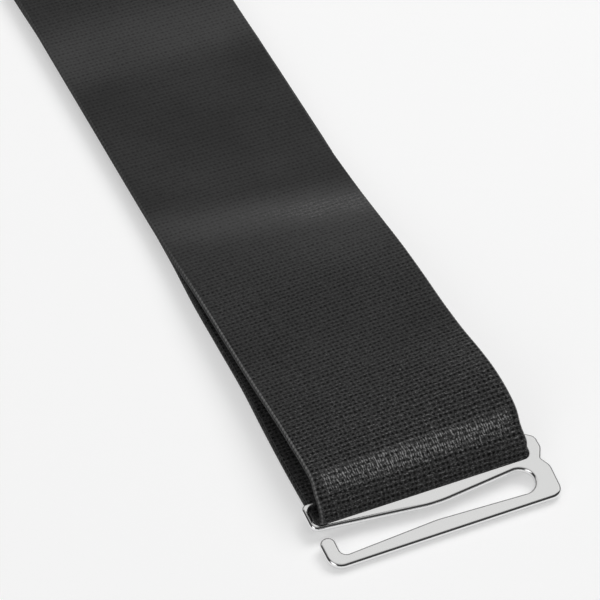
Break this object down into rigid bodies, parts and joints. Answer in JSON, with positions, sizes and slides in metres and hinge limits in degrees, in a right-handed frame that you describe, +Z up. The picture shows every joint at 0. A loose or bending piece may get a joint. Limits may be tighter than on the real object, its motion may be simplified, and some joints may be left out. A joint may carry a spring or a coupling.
{
  "type": "shirt stay",
  "caption": "Wide black elastic band doubled round the bar of a flat metal hook, lying flat, with a sewn eye at its far end that such a hook catches.",
  "frame": {"origin": "middle of the box at the base, on the surface that the stay lies on", "axes": "+Y along the band away from the hook, +X across the band to the right as seen from the hook's end, +Z up"},
  "size_m": [0.0458, 0.2022, 0.0106],
  "materials": {
    "black_elastic": "ribbed woven elastic, matt with a faint sheen",
    "bright_nickel": "bright polished nickel plate on stamped steel"
  },
  "bodies": {
    "root": {"elastic_band": "black_elastic", "metal_hook": "bright_nickel"}
  },
  "joints": []
}
